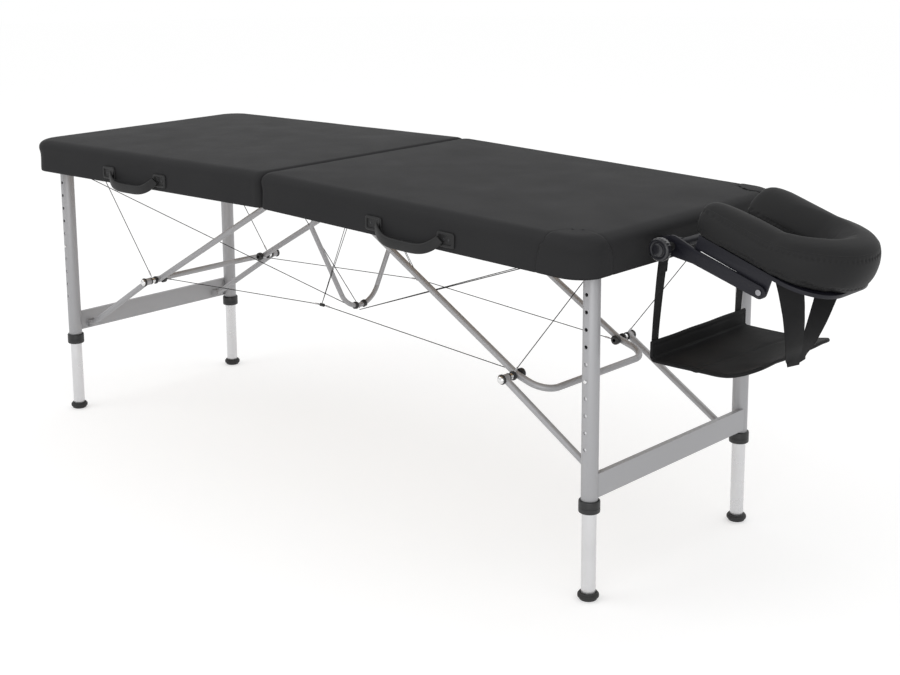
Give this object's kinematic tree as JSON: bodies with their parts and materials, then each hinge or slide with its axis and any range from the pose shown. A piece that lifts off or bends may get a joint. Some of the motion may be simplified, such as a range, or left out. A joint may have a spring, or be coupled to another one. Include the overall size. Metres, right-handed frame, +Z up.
{
  "type": "folding massage table",
  "caption": "Folding massage table with padded halves, telescopic legs, folding stays with a brace loop, side handles, a face rest and an arm shelf.",
  "frame": {"origin": "on the floor under the middle of the centre hinge", "axes": "+X to the head end with the face rest, +Y to the side away from the handles, +Z up"},
  "size_m": [2.2635, 0.726, 0.7935],
  "materials": {
    "vinyl_top": "matte vinyl, fine grain",
    "vinyl_side": "matte vinyl, fine grain",
    "plywood": "raw plywood",
    "rail_wood": "lacquered",
    "steel": "zinc plated",
    "bracket_steel": "zinc plated",
    "silver_paint": "satin silver paint",
    "aluminium": "bright drawn tube",
    "black_plastic": "moulded",
    "black_rubber": "moulded",
    "bright_steel": "polished",
    "cable": "coated steel rope",
    "webbing": "woven webbing",
    "black_metal": "powder coat",
    "knob_plastic": "moulded"
  },
  "bodies": {
    "foot_panel": {"foot_cushion": "vinyl_top", "foot_skirt": "vinyl_side", "foot_board": "plywood", "foot_frame": "rail_wood", "foot_hinge_leaves": "steel", "foot_leg_hinges": "bracket_steel", "foot_stay_hinges": "bracket_steel", "foot_cables": "cable", "loop_cables": "cable", "hinge_cords": "cable", "foot_handle": "webbing"},
    "centre_link": {"hinge_links": "steel", "hinge_pins": "steel", "brace_loop": "silver_paint", "loop_clamps": "black_plastic"},
    "head_panel": {"head_cushion": "vinyl_top", "head_skirt": "vinyl_side", "head_board": "plywood", "head_frame": "rail_wood", "head_hinge_leaves": "steel", "head_leg_hinges": "bracket_steel", "head_stay_hinges": "bracket_steel", "head_cables": "cable", "head_handle": "webbing"},
    "foot_legs": {"foot_outer_legs": "silver_paint", "foot_crossbar": "silver_paint", "foot_collars": "black_plastic"},
    "foot_stay": {"foot_stay_tube": "silver_paint", "foot_knee_pins": "black_plastic"},
    "foot_lower_stay": {"foot_lower_stays": "silver_paint", "foot_knee_caps": "black_plastic"},
    "head_legs": {"head_outer_legs": "silver_paint", "head_crossbar": "silver_paint", "head_collars": "black_plastic"},
    "head_stay": {"head_stay_tube": "silver_paint", "head_knee_pins": "black_plastic"},
    "head_lower_stay": {"head_lower_stays": "silver_paint", "head_knee_caps": "black_plastic"},
    "foot_near_inner": {"foot_near_inner_leg": "aluminium", "foot_near_rubber_foot": "black_rubber"},
    "foot_near_snap": {"foot_near_button": "bright_steel"},
    "foot_far_inner": {"foot_far_inner_leg": "aluminium", "foot_far_rubber_foot": "black_rubber"},
    "foot_far_snap": {"foot_far_button": "bright_steel"},
    "head_near_inner": {"head_near_inner_leg": "aluminium", "head_near_rubber_foot": "black_rubber"},
    "head_near_snap": {"head_near_button": "bright_steel"},
    "head_far_inner": {"head_far_inner_leg": "aluminium", "head_far_rubber_foot": "black_rubber"},
    "head_far_snap": {"head_far_button": "bright_steel"},
    "face_base": {"face_rods": "black_metal", "face_axle": "black_metal", "arm_shelf": "vinyl_side", "left_straps": "webbing", "right_straps": "webbing"},
    "face_arm": {"face_arms": "black_metal", "face_pivots": "bright_steel"},
    "face_clamp": {"face_knob": "knob_plastic"},
    "face_tray": {"face_platform": "black_metal", "face_cushion": "vinyl_top"}
  },
  "joints": [
    {"name": "centre_fold_head", "type": "hinge", "parent": "centre_link", "child": "head_panel", "pos_m": [0.00787, 0, 0.68684], "axis": [0, 1, 0], "range_deg": [0, 90], "deforming": ["foot_cables", "loop_cables", "hinge_cords", "head_cables"]},
    {"name": "centre_fold_foot", "type": "hinge", "parent": "foot_panel", "child": "centre_link", "pos_m": [-0.00787, 0, 0.68684], "axis": [0, 1, 0], "range_deg": [0, 87.66], "deforming": ["foot_cables", "loop_cables", "hinge_cords", "head_cables"]},
    {"name": "foot_leg_fold", "type": "hinge", "parent": "foot_panel", "child": "foot_legs", "pos_m": [-0.88979, 0, 0.69882], "axis": [0, -1, 0], "range_deg": [0, 91.18]},
    {"name": "foot_stay_fold", "type": "hinge", "parent": "foot_panel", "child": "foot_stay", "pos_m": [-0.04069, 0, 0.72668], "axis": [0, 1, 0], "range_deg": [0, 27.97]},
    {"name": "foot_lower_stay_fold", "type": "hinge", "parent": "foot_legs", "child": "foot_lower_stay", "pos_m": [-0.87979, 0, 0.232], "axis": [0, -1, 0], "range_deg": [0, 59.34]},
    {"name": "head_leg_fold", "type": "hinge", "parent": "head_panel", "child": "head_legs", "pos_m": [0.88979, 0, 0.69882], "axis": [0, 1, 0], "range_deg": [0, 91.18]},
    {"name": "head_stay_fold", "type": "hinge", "parent": "head_panel", "child": "head_stay", "pos_m": [0.04069, 0, 0.72668], "axis": [0, -1, 0], "range_deg": [0, 27.97]},
    {"name": "head_lower_stay_fold", "type": "hinge", "parent": "head_legs", "child": "head_lower_stay", "pos_m": [0.87979, 0, 0.232], "axis": [0, 1, 0], "range_deg": [0, 59.34]},
    {"name": "foot_near_height", "type": "slide", "parent": "foot_legs", "child": "foot_near_inner", "axis": [0, 0, 1], "range_m": [-0.14, 0.14], "deforming": ["foot_near_button"]},
    {"name": "foot_near_snap_press", "type": "slide", "parent": "foot_near_inner", "child": "foot_near_snap", "axis": [0, 1, 0], "range_m": [0, 0.0045], "stiffness_N_per_m": 800, "springref_m": -0.002},
    {"name": "foot_far_height", "type": "slide", "parent": "foot_legs", "child": "foot_far_inner", "axis": [0, 0, 1], "range_m": [-0.14, 0.14], "deforming": ["foot_far_button"]},
    {"name": "foot_far_snap_press", "type": "slide", "parent": "foot_far_inner", "child": "foot_far_snap", "axis": [0, -1, 0], "range_m": [0, 0.0045], "stiffness_N_per_m": 800, "springref_m": -0.002},
    {"name": "head_near_height", "type": "slide", "parent": "head_legs", "child": "head_near_inner", "axis": [0, 0, 1], "range_m": [-0.14, 0.14], "deforming": ["head_near_button"]},
    {"name": "head_near_snap_press", "type": "slide", "parent": "head_near_inner", "child": "head_near_snap", "axis": [0, 1, 0], "range_m": [0, 0.0045], "stiffness_N_per_m": 800, "springref_m": -0.002},
    {"name": "head_far_height", "type": "slide", "parent": "head_legs", "child": "head_far_inner", "axis": [0, 0, 1], "range_m": [-0.14, 0.14], "deforming": ["head_far_button"]},
    {"name": "head_far_snap_press", "type": "slide", "parent": "head_far_inner", "child": "head_far_snap", "axis": [0, -1, 0], "range_m": [0, 0.0045], "stiffness_N_per_m": 800, "springref_m": -0.002},
    {"name": "face_rest_slide", "type": "slide", "parent": "head_panel", "child": "face_base", "axis": [0.9998, 0, -0.0204], "range_m": [0, 0.16]},
    {"name": "face_rest_tilt", "type": "hinge", "parent": "face_base", "child": "face_arm", "pos_m": [0.97869, 0, 0.71751], "axis": [0, -1, 0], "range_deg": [-15, 30], "deforming": ["right_straps"]},
    {"name": "face_platform_tilt", "type": "hinge", "parent": "face_arm", "child": "face_tray", "pos_m": [1.1747, 0, 0.65751], "axis": [0, -1, 0], "range_deg": [-25, 10], "deforming": ["right_straps"]},
    {"name": "face_knob_turn", "type": "hinge", "parent": "face_base", "child": "face_clamp", "pos_m": [0.97869, 0, 0.71751], "axis": [0, 1, 0], "range_deg": [0, 180]}
  ],
  "couplings": [
    {"joint": "foot_leg_fold", "follows": "centre_fold_foot", "ratio": 1.0401},
    {"joint": "foot_stay_fold", "follows": "centre_fold_foot", "ratio": 0.31896},
    {"joint": "foot_lower_stay_fold", "follows": "centre_fold_foot", "ratio": 0.67682},
    {"joint": "head_leg_fold", "follows": "centre_fold_foot", "ratio": 1.0401},
    {"joint": "head_stay_fold", "follows": "centre_fold_foot", "ratio": 0.31896},
    {"joint": "head_lower_stay_fold", "follows": "centre_fold_foot", "ratio": 0.67682}
  ]
}
